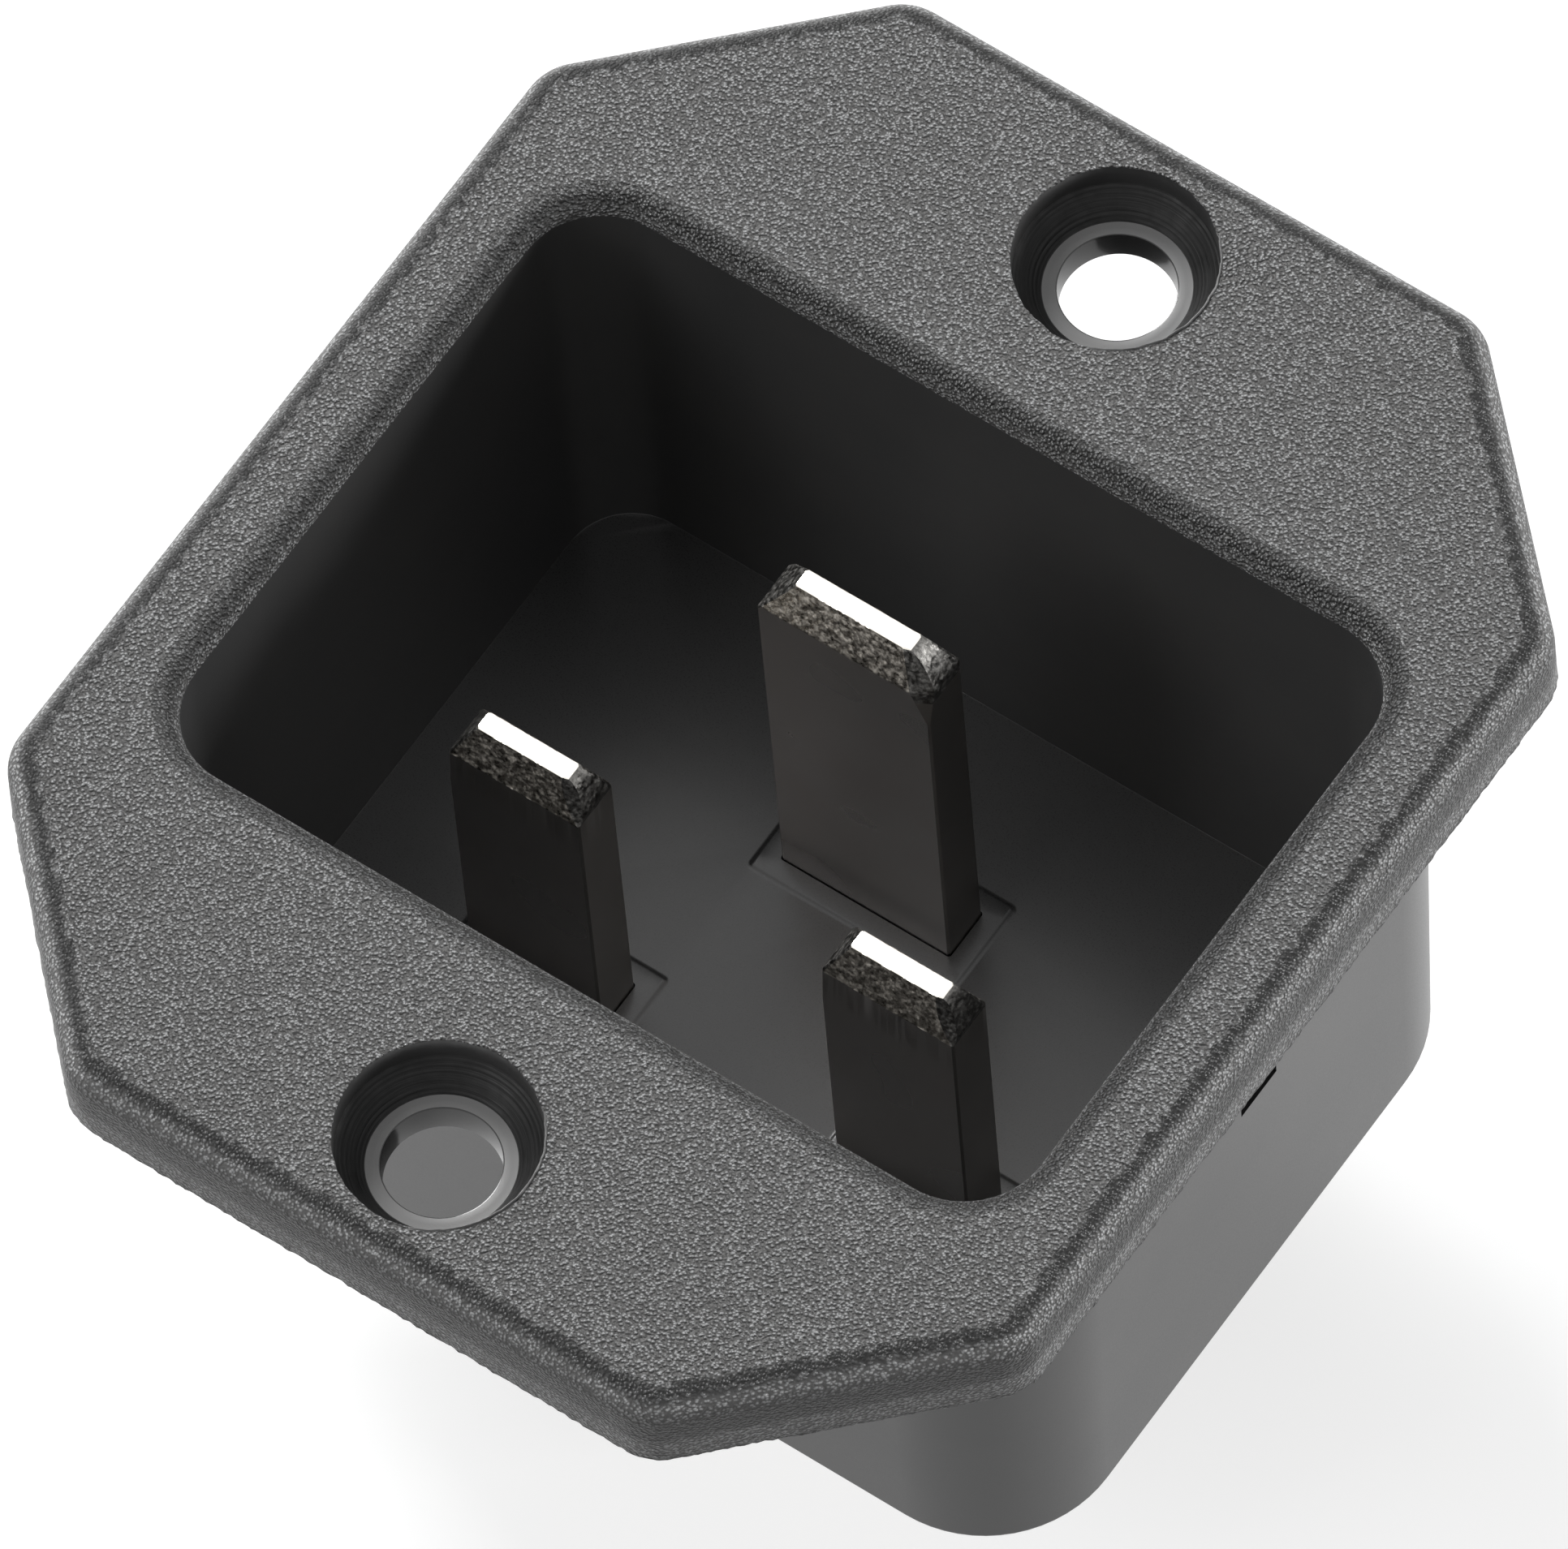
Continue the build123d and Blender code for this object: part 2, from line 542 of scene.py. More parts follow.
def circle(centre: Point, radius: float, steps: int) -> list[Vector]:
    """A circle as flat points, anticlockwise.

    Args:
        centre: its middle.
        radius: its radius.
        steps: how many points it has.

    Returns:
        The points.
    """
    return [Vector((centre[0] + radius * math.cos(2 * math.pi * i / steps),
                    centre[1] + radius * math.sin(2 * math.pi * i / steps))) for i in range(steps)]


def lift(points: Iterable[Vector], z: float) -> Loop:
    """Flat points set at height z."""
    return [Vector((p.x, p.y, z)) for p in points]


def inside(point: Vector, ring: Sequence[Vector]) -> bool:
    """Tells whether a flat point lies in a closed ring.

    Args:
        point: the point.
        ring: the ring's points.

    Returns:
        True if it lies inside.
    """
    hit = False
    for a, b in zip(ring, [*ring[1:], ring[0]]):
        if (a.y > point.y) != (b.y > point.y) and point.x < (b.x - a.x) * (point.y - a.y) / (b.y - a.y) + a.x:
            hit = not hit
    return hit


def arc_profile(centre: Point, radius: float, start: float, end: float, steps: int) -> list[Point]:
    """An arc in a section.

    Args:
        centre: its middle.
        radius: its radius.
        start: where it starts, in degrees.
        end: where it ends, in degrees.
        steps: how many parts it is divided into.

    Returns:
        Its points, with both ends.
    """
    return [(centre[0] + radius * math.cos(math.radians(start + (end - start) * i / steps)),
             centre[1] + radius * math.sin(math.radians(start + (end - start) * i / steps)))
            for i in range(steps + 1)]


def turned_in(start: Point, radius: float) -> list[Point]:
    """Points of the rounding that turns a wall in to the flat below it, as insets and heights.

    Args:
        start: inset and height of the wall's lower end.
        radius: the rounding's radius.

    Returns:
        The points, from the wall to the flat.
    """
    turns = [math.radians(angle) for angle in (0, 30, 60, 90)]
    return [(start[0] + radius - radius * math.cos(a), start[1] - radius * math.sin(a)) for a in turns]


def ripple(point: Vector, size: float, depth: float) -> float:
    """A smooth random height with features of size and a reach of depth, the same on every run."""
    return noise.noise(point / size) * depth


class Skin:
    """Collects the faces of one piece, in millimetres, and turns them into an object."""

    def __init__(self, place: Matrix | None = None) -> None:
        """Starts an empty skin, with the piece's own frame at place in the CAD frame."""
        self.mesh = bmesh.new()
        self.place = place or Matrix.Identity(4)

    def face(self, points: Sequence[Vector], finish: int) -> None:
        """Adds one face."""
        made = self.mesh.faces.new([self.mesh.verts.new(self.place @ p) for p in points])
        made.material_index = finish

    def bands(self, loops: Sequence[Loop], finish: int, leave_out: Callable[[Vector], bool] | None = None
              ) -> None:
        """Joins each closed loop to the next, which has the same number of points.

        Args:
            loops: the loops.
            finish: index of the finish.
            leave_out: says of a face's centre whether it is left open.
        """
        for first, second in zip(loops, loops[1:]):
            for i, here in enumerate(first):
                j = (i + 1) % len(first)
                quad = [here, first[j], second[j], second[i]]
                if leave_out is None or not leave_out(sum(quad, Vector((0, 0, 0))) / 4):
                    self.face(quad, finish)

    def sweep(self, outline: Outline, profile: Iterable[Point], finish: int) -> None:
        """Joins an outline's loops at the insets and heights of a profile."""
        self.bands([lift(outline.points(inset), z) for inset, z in profile], finish)

    def turn(self, centre: Point, profile: Iterable[Point], steps: int, finish: int) -> None:
        """Joins circles about a centre at the radii and heights of a profile."""
        self.bands([lift(circle(centre, radius, steps), z) for radius, z in profile], finish)

    def plate(self, outer: Sequence[Vector], holes: Sequence[Sequence[Vector]], z: float,
              finish: int) -> None:
        """Fills the flat area between a ring and the holes in it.

        Args:
            outer: the ring round it.
            holes: the rings that stay open.
            z: the height of the plate.
            finish: index of the finish.
        """
        points: list[Vector] = []
        edges: list[tuple[int, int]] = []
        for ring in (outer, *holes):
            first = len(points)
            points += [Vector((p.x, p.y)) for p in ring]
            edges += [(first + i, first + (i + 1) % len(ring)) for i in range(len(ring))]
        found = delaunay_2d_cdt(points, edges, [], 1, 1e-7)
        for triangle in found[2]:
            corners = [found[0][i] for i in triangle]
            middle = sum(corners, Vector((0, 0))) / 3
            if not any(inside(middle, hole) for hole in holes):
                self.face(lift(corners, z), finish)

    def finished(self, name: str, materials: Sequence[bpy.types.Material], sharp_angle: float = 32.0
                 ) -> bpy.types.Object:
        """Welds the faces into one mesh and makes the object.

        Args:
            name: the piece's name.
            materials: the finishes by index.
            sharp_angle: an edge that turns by more degrees stays sharp.

        Returns:
            The object, in metres.
        """
        bmesh.ops.remove_doubles(self.mesh, verts=self.mesh.verts, dist=1e-5)
        bmesh.ops.dissolve_degenerate(self.mesh, edges=self.mesh.edges, dist=1e-6)
        bmesh.ops.recalc_face_normals(self.mesh, faces=self.mesh.faces)
        bmesh.ops.scale(self.mesh, vec=(MM, MM, MM), verts=self.mesh.verts)
        data = bpy.data.meshes.new(name)
        self.mesh.to_mesh(data)
        self.mesh.free()
        for material in materials:
            data.materials.append(material)
        data.shade_smooth()
        data.set_sharp_from_angle(angle=math.radians(sharp_angle))
        piece = linked(name, data)
        weighted = piece.modifiers.new("even_normals", "WEIGHTED_NORMAL")
        weighted.keep_sharp = True
        weighted.weight = 80
        return piece


class MouldFace(IntEnum):
    """Finishes of the moulding by index."""

    FRONT = 0
    EDGE = 1
    SIDE = 2
    WALL = 3
    FLOOR = 4
    BODY = 5
    HOLE_TOP = 6
    HOLE_BOTTOM = 7
    BORE = 8
    SEAT = 9
    LIP = 10


@dataclass
class Housing:
    """The one-piece moulding: flange, recess with its floor, box body and two screw holes."""

    blades: list["Blade"]
    flange_width: float = 41.6
    flange_height: float = 50.0
    flange_thickness: float = 3.4
    flange_corner_cut: float = 9.1
    flange_corner_radius: float = 2.2
    flange_edge_radius: float = 1.1
    flange_draft: float = 1.0
    back_edge_radius: float = 0.12
    recess_length: float = 34.4
    recess_width: float = 25.5
    recess_depth: float = 20.75
    recess_corner_radius: float = 3.0
    recess_rim_radius: float = 0.9
    recess_draft: float = 1.3
    recess_floor_radius: float = 0.02
    shroud_wall: float = 1.75
    floor_thickness: float = 2.65
    body_corner_radius: float = 5.3
    body_draft: float = 1.0
    body_edge_radius: float = 0.25
    pocket_width: float = 2.1
    pocket_height: float = 6.8
    pocket_depth: float = 0.7
    pocket_y: float = 0.45
    pad_border: float = 0.95
    pad_height: float = 0.12
    pad_slope: float = 0.26
    slot_gap: float = 0.04
    screw_spacing: float = 40.0
    screw_hole_radius: float = 2.05
    screw_seat_radius: float = 2.6
    screw_head_radius: float = 3.55
    counterbore_depth: float = 1.1
    bore_bevel: float = 0.06
    cutter_rings: int = 7
    groove_depth: float = 0.0056
    lip_reach: float = 0.15
    burr_height: float = 0.05
    burr_middle: float = -12.0
    burr_reach: float = 62.0
    circle_steps: int = 200
    skin: Skin = field(default_factory=Skin)

    def __post_init__(self) -> None:
        """Works out the outlines and heights that several surfaces share."""
        self.flange = Outline.octagon(self.flange_width, self.flange_height, self.flange_corner_cut,
                                      self.flange_corner_radius, arc_steps=18, edge_step=0.14)
        self.mouth = Outline.rectangle(self.recess_length, self.recess_width, self.recess_corner_radius,
                                       arc_steps=14, edge_step=0.5)
        self.floor_z = self.flange_thickness - self.recess_depth
        self.back_z = self.floor_z - self.floor_thickness
        taper = self.recess_depth * self._slope(self.recess_draft)
        widen = 2 * (self.shroud_wall - taper - self.back_z * self._slope(self.body_draft))
        half = self.pocket_width / 2
        self.body = Outline.rectangle(self.recess_length + widen, self.recess_width + widen,
                                      self.body_corner_radius, arc_steps=16, edge_step=1.2,
                                      marks=(self.pocket_y - half, self.pocket_y + half))

    @staticmethod
    def _slope(degrees: float) -> float:
        """Inset for each millimetre of height."""
        return math.tan(math.radians(degrees))

    def _screw_centres(self) -> list[Point]:
        """Middles of the two screw holes."""
        return [(0.0, side * self.screw_spacing / 2) for side in (-1, 1)]

    def _flange_edge(self) -> Point:
        """Finds the middle of the front edge's rounding.

        Returns:
            Its inset and height.
        """
        low = self.flange_thickness - self.flange_edge_radius
        draft = math.radians(self.flange_draft)
        return (low * math.tan(draft) + self.flange_edge_radius / math.cos(draft), low)

    def add_flange_sides(self) -> None:
        """The drafted sides, their small back edge and the rounded front edge."""
        small = self.back_edge_radius
        back = [(small - small * math.sin(math.radians(a)), small - small * math.cos(math.radians(a)))
                for a in (0, 45, 90)]
        inset, low = self._flange_edge()
        round_edge = [(inset - (x - inset), z) for x, z in arc_profile(
            (inset, low), self.flange_edge_radius, self.flange_draft, 90, 12)]
        wall = [(back[-1][0], back[-1][1]), (0.5 * self._slope(self.flange_draft), 0.5),
                (1.3 * self._slope(self.flange_draft), 1.3), round_edge[0]]
        for profile in (back, wall):
            loops = [self._flashed(lift(self.flange.points(i), z)) for i, z in profile]
            self.skin.bands(loops, MouldFace.SIDE)
        self.skin.sweep(self.flange, round_edge, MouldFace.SIDE)

    def _flashed(self, loop: Loop) -> Loop:
        """Lets the lowest edge of the flange wander a little, as a parting line does.

        Args:
            loop: a loop of the flange's side.

        Returns:
            The moved points.
        """
        moved = []
        for point in loop:
            share = max(0.0, 1.0 - point.z / 0.4)
            outward = Vector((point.x, point.y, 0.0)).normalized()
            moved.append(point + outward * share * (ripple(point, 0.28, 0.07) + ripple(point, 1.7, 0.03)))
        return moved

    def add_front(self) -> None:
        """The flat front face round the recess and the screw holes."""
        inset, _ = self._flange_edge()
        holes = [self.mouth.points(-self._rim_centre())]
        holes += [self._hole_ring(centre, self.screw_head_radius + self.lip_reach, 0.0)
                  for centre in self._screw_centres()]
        self.skin.plate(self.flange.points(inset), holes, self.flange_thickness, MouldFace.FRONT)

    def _rim_centre(self) -> float:
        """How far outside the recess wall the middle of the rim's rounding lies."""
        draft = math.radians(self.recess_draft)
        return self.recess_rim_radius / math.cos(draft) - self.recess_rim_radius * math.tan(draft)

    def add_recess(self) -> None:
        """The rounded rim, the drafted walls and the floor's corner."""
        centre, radius = self._rim_centre(), self.recess_rim_radius
        rim = arc_profile((-centre, self.flange_thickness - radius), radius, 90, self.recess_draft, 14)
        self.skin.sweep(self.mouth, rim, MouldFace.EDGE)
        slope, small = self._slope(self.recess_draft), self.recess_floor_radius
        low = self.floor_z + small
        depths = [self.flange_thickness - rim[-1][1], 3.0, 8.0, 14.0, self.flange_thickness - low]
        wall = [(depth * slope, self.flange_thickness - depth) for depth in depths]
        self.skin.sweep(self.mouth, wall, MouldFace.WALL)
        self.skin.sweep(self.mouth, turned_in(wall[-1], small), MouldFace.WALL)
        self.floor_inset = wall[-1][0] + small

    def add_floor(self) -> None:
        """The floor of the recess with the thin pads round the blades and the slots through it."""
        pads = [blade.pad_outline(self.pad_border) for blade in self.blades]
        placed = [[point + blade.centre for point in pad.points()] for blade, pad in zip(self.blades, pads)]
        self.skin.plate(self.mouth.points(self.floor_inset), placed, self.floor_z, MouldFace.FLOOR)
        top = self.floor_z + self.pad_height
        for blade, pad in zip(self.blades, pads):
            steps = [(0.0, self.floor_z), (self.pad_slope - 0.1, top - 0.03), (self.pad_slope, top)]
            loops = [lift((p + blade.centre for p in pad.points(i)), z) for i, z in steps]
            self.skin.bands(loops, MouldFace.FLOOR)
            slot = blade.slot_points(self.slot_gap)
            upper = [p + blade.centre for p in pad.points(self.pad_slope)]
            self.skin.plate(upper, [slot], top, MouldFace.FLOOR)
            self.skin.bands([lift(slot, top), lift(slot, self.back_z)], MouldFace.FLOOR)

    def add_body(self) -> None:
        """The drafted body with its pockets, its back and the back of the flange round it."""
        slope, small = self._slope(self.body_draft), self.body_edge_radius
        heights = [0.0, -self.pocket_height, -12.0, self.back_z + small]
        side = [(-z * slope, z) for z in heights]
        loops = [lift(self.body.points(i), z) for i, z in side]
        self.skin.bands(loops, MouldFace.BODY, self._in_pocket)
        edge = turned_in(side[-1], small)
        self.skin.sweep(self.body, edge, MouldFace.BODY)
        slots = [blade.slot_points(self.slot_gap) for blade in self.blades]
        self.skin.plate(self.body.points(edge[-1][0]), slots, self.back_z, MouldFace.BODY)
        holes = [self._notched(self.body.points())]
        holes += [circle(centre, self.screw_hole_radius + self.bore_bevel, self.circle_steps)
                  for centre in self._screw_centres()]
        back = self._flashed(lift(self.flange.points(self.back_edge_radius), 0.0))
        self.skin.plate(back, holes, 0.0, MouldFace.SIDE)
        self._add_pocket_walls(1)
        self._add_pocket_walls(-1)

    def _in_pocket(self, centre: Vector) -> bool:
        """Whether the middle of a face lies in the mouth of a clip pocket."""
        return (abs(centre.y - self.pocket_y) < self.pocket_width / 2 and centre.z > -self.pocket_height
                and abs(centre.x) > self.recess_length / 2)

    def _notched(self, ring: Sequence[Vector]) -> list[Vector]:
        """Cuts the two pockets into the body's outline.

        Args:
            ring: the outline.

        Returns:
            The outline with the pockets.
        """
        half, out = self.pocket_width / 2, []
        for point in ring:
            along = point.y - self.pocket_y
            at_mark = abs(abs(along) - half) < 1e-6 and abs(point.x) > self.recess_length / 2
            if abs(along) < half - 1e-6 and abs(point.x) > self.recess_length / 2:
                continue
            side = math.copysign(1, point.x)
            deep = Vector((point.x - side * self.pocket_depth, point.y))
            enters = along * side < 0
            out += ([point.copy(), deep] if enters else [deep, point.copy()]) if at_mark else [point.copy()]
        return out

    def _add_pocket_walls(self, side: int) -> None:
        """The inside of one clip pocket.

        Args:
            side: 1 for the pocket towards +X and -1 for the other.
        """
        low = -self.pocket_height
        ends = (self.pocket_y - self.pocket_width / 2, self.pocket_y + self.pocket_width / 2)
        front = max(p.x for p in self.body.points())
        lean = self.pocket_height * self._slope(self.body_draft)
        deep = front - self.pocket_depth
        for y in ends:
            self.skin.face([Vector((side * x, y, z)) for x, z in (
                (front, 0), (deep, 0), (deep, low), (front - lean, low))], MouldFace.HOLE_TOP)
        self.skin.face([Vector((side * deep, y, z)) for y, z in (
            (ends[0], 0), (ends[1], 0), (ends[1], low), (ends[0], low))], MouldFace.HOLE_TOP)
        inner = [Vector((side * deep, y, low)) for y in ends]
        outer = [p for p in self.body.points(lean)
                 if ends[0] - 1e-6 < p.y < ends[1] + 1e-6 and p.x * side > 0]
        outer.sort(key=lambda p: -p.y)
        self.skin.face([*inner, *lift(outer, low)], MouldFace.HOLE_TOP)

    def _burr_share(self, centre: Point, spot: Vector) -> float:
        """How much of the burr's height it has at a spot round a screw hole, from 0 to 1."""
        turn = math.degrees(math.atan2(spot.y - centre[1], spot.x - centre[0])) - self.burr_middle
        return max(0.0, 1.0 - (turn / self.burr_reach) ** 2)

    def _hole_ring(self, centre: Point, radius: float, height: float, burr: float = 0.0) -> Loop:
        """A ring round a screw hole, a little out of round, with a burr on the side of the last cut.

        Args:
            centre: the middle of the hole.
            radius: the ring's radius.
            height: its height above the front face.
            burr: how much of the burr's height it takes.

        Returns:
            The ring.
        """
        ring: Loop = []
        for point in circle(centre, radius, self.circle_steps):
            out = (point - Vector(centre)).normalized()
            share = self._burr_share(centre, point)
            spot = Vector((point.x, point.y, 0.0))
            wander = ripple(spot, 0.45, 0.045) + ripple(spot, 0.16, 0.02)
            rise = height + burr * self.burr_height * share * (1.0 + ripple(spot, 0.5, 0.6))
            ring.append(Vector((point.x + out.x * wander, point.y + out.y * wander,
                                self.flange_thickness + rise)))
        return ring

    def add_screw_hole(self, centre: Point, cut: int) -> None:
        """One stepped hole with the rings that the countersink leaves.

        Args:
            centre: the middle of the hole.
            cut: index of the turned finish of this hole.
        """
        top, head, seat, bore = (self.flange_thickness, self.screw_head_radius,
                                 self.screw_seat_radius, self.screw_hole_radius)
        cone_top = top - self.counterbore_depth
        seat_z = cone_top - (head - seat)
        # Reach, height and share of the burr for each ring of the lip, from the outside in
        steps = ((self.lip_reach, 0.0, 0.0), (0.09, 0.0, -0.8), (0.05, 0.0, 1.0), (0.015, -0.012, 1.0),
                 (0.0, -0.06, 0.0))
        lip = [self._hole_ring(centre, head + out, height, burr) for out, height, burr in steps]
        self.skin.bands(lip[:2], MouldFace.FRONT)
        self.skin.bands(lip[1:], MouldFace.FRONT, lambda spot: self._burr_share(centre, spot) > 0.1)
        self.skin.bands(lip[1:], MouldFace.LIP, lambda spot: self._burr_share(centre, spot) <= 0.1)
        wall = [lip[-1]] + [lift(circle(centre, head, self.circle_steps), z) for z in (top - 0.6, cone_top)]
        self.skin.bands(wall, MouldFace.WALL)
        steps_down = 4 * self.cutter_rings
        cone = [(head, cone_top)]
        for i in range(1, steps_down):
            share = i / steps_down
            strength = 0.6 + 0.4 * math.sin(9 * share + centre[1])
            groove = self.groove_depth * math.sin(2 * math.pi * share * self.cutter_rings) * strength
            run = share * (head - seat)
            cone.append((head - run + groove, cone_top - run - groove))
        cone += [(seat, seat_z), (seat - 0.03, seat_z - 0.004)]
        flat = [cone[-1], (seat - 0.25, seat_z), (bore + 0.05, seat_z)]
        through = [flat[-1], (bore + 0.015, seat_z - 0.015), (bore, seat_z - 0.05),
                   (bore, self.bore_bevel), (bore + self.bore_bevel, 0.0)]
        for profile, finish in ((cone, cut), (flat, MouldFace.SEAT), (through, MouldFace.BORE)):
            self.skin.turn(centre, profile, self.circle_steps, finish)

    def build(self, materials: Sequence[bpy.types.Material]) -> bpy.types.Object:
        """Builds the moulding.

        Args:
            materials: its finishes in the order of MouldFace.

        Returns:
            The object, which replaces the CAD node.
        """
        self.add_flange_sides()
        self.add_front()
        self.add_recess()
        self.add_floor()
        self.add_body()
        for centre, cut in zip(self._screw_centres(), (MouldFace.HOLE_BOTTOM, MouldFace.HOLE_TOP)):
            self.add_screw_hole(centre, cut)
        piece = self.skin.finished("housing_moulding", materials)
        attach(piece, "root")
        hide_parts("housing")
        return piece


class BladeFace(IntEnum):
    """Finishes of a blade by index."""

    STRIP = 0
    CHAMFER = 1
    TIP = 2
    COINED_END = 3
    SIDE = 4


@dataclass
class Blade:
    """One flat contact with its coined tip, its collar and its push-on tab."""

    node: str
    x: float
    y: float
    width: float
    tip_width: float
    tip_z: float
    cut_height: float
    cut_bend: float
    seed: float
    thickness: float = 2.0
    tip_thickness: float = 0.75
    chamfer_height: float = 1.6
    slope_height: float = 1.8
    rounded_height: float = 1.4
    edge_chamfer: float = 0.08
    coined_end_height: float = 2.1
    back_z: float = -20.0
    collar_border: float = 0.9
    border_radius: float = 0.3
    collar_thickness: float = 0.8
    tab_width: float = 6.3
    tab_thickness: float = 0.8
    tab_length: float = 8.0
    tab_hole_radius: float = 0.825
    tab_hole_from_end: float = 3.2
    tab_end_chamfer: float = 0.9
    face_steps: int = 90
    cut_steps: int = 10
    end_steps: int = 26
    tip_rows: int = 64
    row_crowding: float = 1.35
    last_row_depth: float = 0.03

    @property
    def centre(self) -> Vector:
        """The blade's axis as a flat point."""
        return Vector((self.x, self.y))

    def _bordered(self, border: float, radius: float, arc_steps: int, edge_step: float) -> Outline:
        """The blade's outline with a border, about the blade's own axis."""
        return Outline.rectangle(self.width + 2 * border, self.thickness + 2 * border, radius,
                                 arc_steps=arc_steps, edge_step=edge_step)

    def pad_outline(self, border: float) -> Outline:
        """Outline of the thin pad round the blade's foot, about the blade's own axis."""
        return self._bordered(border, self.border_radius, 4, 0.5)

    def slot_points(self, gap: float) -> list[Vector]:
        """Outline of the slot in the floor, with a gap all round the blade."""
        return [p + self.centre for p in self._bordered(gap, self.edge_chamfer + gap, 3, 0.5).points()]

    def _turns(self, depth: float) -> list[Point]:
        """The eight places where the outline turns, anticlockwise from the front of the right end.

        The two faces are chamfered. The right end is rounded and its front corner cut, and the left
        end slopes.

        Args:
            depth: distance below the tip.

        Returns:
            Places about the blade's own axis.
        """
        half, small, drop = self.tip_width / 2, self.edge_chamfer, (self.width - self.tip_width) / 2
        run = (self.thickness - self.tip_thickness) / 2
        cut = min(1.0, depth / self.cut_height) ** self.cut_bend
        right = half + drop * math.sqrt(min(1.0, depth / self.rounded_height))
        left = half + drop * min(1.0, depth / self.slope_height)
        face = self.tip_thickness / 2 + run * min(1.0, depth / self.chamfer_height)
        front = min(face, self.tip_thickness / 2 + run * cut) - small
        return [(right, -front), (right, face - small), (right - small, face), (small - left, face),
                (-left, face - small), (-left, small - face), (small - left, -face),
                (half + drop * cut - small, -face)]

    def _ring(self, depth: float, inset: float = 0.0) -> Loop:
        """The outline at a depth below the tip, with the same number of points at every depth.

        Args:
            depth: distance below the tip.
            inset: how far the outline is moved inwards.

        Returns:
            Points about the blade's own axis.
        """
        side = (self.end_steps, 1, self.face_steps)
        steps = (*side, 1, *side, self.cut_steps)
        points = [Vector((x - math.copysign(inset, x), y - math.copysign(inset, y), self.tip_z - depth))
                  for x, y in self._turns(depth)]
        sides = zip(points, [*points[1:], points[0]], steps)
        return [here.lerp(after, i / count) for here, after, count in sides for i in range(count)]

    def _roughened(self, loop: Loop, strength: float) -> Loop:
        """Tears the pressed surface a little.

        Args:
            loop: points about the blade's own axis.
            strength: from 0, smooth, to 1.

        Returns:
            The moved points.
        """
        if strength <= 0:
            return loop
        moved = []
        for point in loop:
            outward = Vector((point.x, 3 * point.y, 0.0)).normalized()
            seen = point + Vector((self.seed, 0, 0))
            height = ripple(seen, 0.13, 0.020) + ripple(seen, 0.45, 0.035)
            moved.append(point + outward * height * strength)
        return moved

    def _add_row(self, skin: Skin, low: Loop, high: Loop, face: int, end: int) -> None:
        """One row of mesh faces round the tip.

        Args:
            skin: the blade's skin.
            low: the lower loop.
            high: the upper loop.
            face: index of the finish on the blade's two faces.
            end: index of the finish on its two ends and the cut corner.
        """
        wide = [self.end_steps + 1, self.end_steps + 1 + self.face_steps]
        wide += [wide[1] + self.end_steps + 2, wide[1] + self.end_steps + 2 + self.face_steps]
        for i, here in enumerate(low):
            after = (i + 1) % len(low)
            on_face = wide[0] <= i < wide[1] or wide[2] <= i < wide[3]
            skin.face([here, low[after], high[after], high[i]], face if on_face else end)

    def add_bar(self, skin: Skin) -> None:
        """The flat bar with its coined tip.

        Args:
            skin: the blade's skin.
        """
        foot = self.tip_z - self.back_z
        plain_rows = [foot, foot - 6.0, self.cut_height + 2.0, self.cut_height]
        loops = [self._ring(depth) for depth in plain_rows]
        for low, high in zip(loops, loops[1:]):
            self._add_row(skin, low, high, BladeFace.STRIP, BladeFace.SIDE)
        previous = loops[-1]
        for i in range(1, self.tip_rows + 1):
            share = (1 - i / self.tip_rows) ** self.row_crowding
            depth = self.last_row_depth + (self.cut_height - self.last_row_depth) * share
            strength = min(1.0, max(0.0, (self.coined_end_height - depth) / 0.3)) * min(1.0, depth / 0.15)
            if depth > self.chamfer_height:
                strength *= 0.4
            loop = self._roughened(self._ring(depth), strength)
            face = BladeFace.CHAMFER if depth < self.chamfer_height else BladeFace.STRIP
            end = BladeFace.COINED_END if depth < self.coined_end_height else BladeFace.SIDE
            self._add_row(skin, previous, loop, face, end)
            previous = loop
        rim = [self._ring(0.01, 0.005), self._ring(0.0, 0.025)]
        skin.bands([previous, *rim], BladeFace.TIP)
        skin.plate(rim[-1], [], self.tip_z, BladeFace.TIP)

    def add_collar(self, skin: Skin) -> None:
        """The collar that stops the blade behind the floor.

        Args:
            skin: the blade's skin.
        """
        outline = self._bordered(self.collar_border, self.border_radius, 5, 1.0)
        low = self.back_z - self.collar_thickness
        steps = [(0.0, self.back_z), (0.0, low + 0.1), (0.03, low + 0.03), (0.1, low)]
        skin.sweep(outline, steps, BladeFace.STRIP)
        skin.plate(outline.points(0.1), [], low, BladeFace.STRIP)
        skin.plate(outline.points(), [], self.back_z, BladeFace.STRIP)

